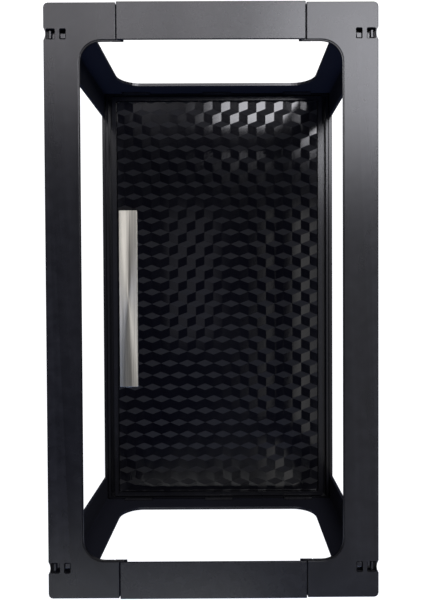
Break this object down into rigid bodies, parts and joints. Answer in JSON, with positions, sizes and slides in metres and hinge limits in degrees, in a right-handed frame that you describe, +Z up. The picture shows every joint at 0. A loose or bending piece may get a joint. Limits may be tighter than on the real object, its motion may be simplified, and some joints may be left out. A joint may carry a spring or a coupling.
{
  "type": "open model car display stand",
  "caption": "Open rectangular display stand: shallow tray with embossed floor, two windowed end frames and two clip-on long top rails.",
  "frame": {"origin": "centre of the footprint, on the surface the stand rests on", "axes": "+Z up, Y along the stand with its left end at +Y, front with the nameplate at -X"},
  "size_m": [0.182, 0.327, 0.149],
  "materials": {
    "tray_plastic": "satin black moulded plastic",
    "floor_plastic": "semi-gloss black plastic, embossed",
    "brushed_metal": "brushed along its length, left blank",
    "frame_plastic": "satin blue-black moulded plastic",
    "rail_plastic": "satin black moulded plastic",
    "pad_rubber": "matt black rubber"
  },
  "bodies": {
    "stand": {"base_tray": "tray_plastic", "floor_panel": "floor_plastic", "nameplate": "brushed_metal", "left_end_frame": "frame_plastic", "right_end_frame": "frame_plastic", "foot_pad_front_left": "pad_rubber", "foot_pad_rear_left": "pad_rubber", "foot_pad_front_right": "pad_rubber", "foot_pad_rear_right": "pad_rubber"},
    "front_rail": {"front_top_rail": "rail_plastic"},
    "rear_rail": {"rear_top_rail": "rail_plastic"}
  },
  "joints": [
    {"name": "front_rail_lift", "type": "slide", "parent": "stand", "child": "front_rail", "axis": [0, 0, 1], "range_m": [0, 0.03]},
    {"name": "rear_rail_lift", "type": "slide", "parent": "stand", "child": "rear_rail", "axis": [0, 0, 1], "range_m": [0, 0.03]}
  ]
}
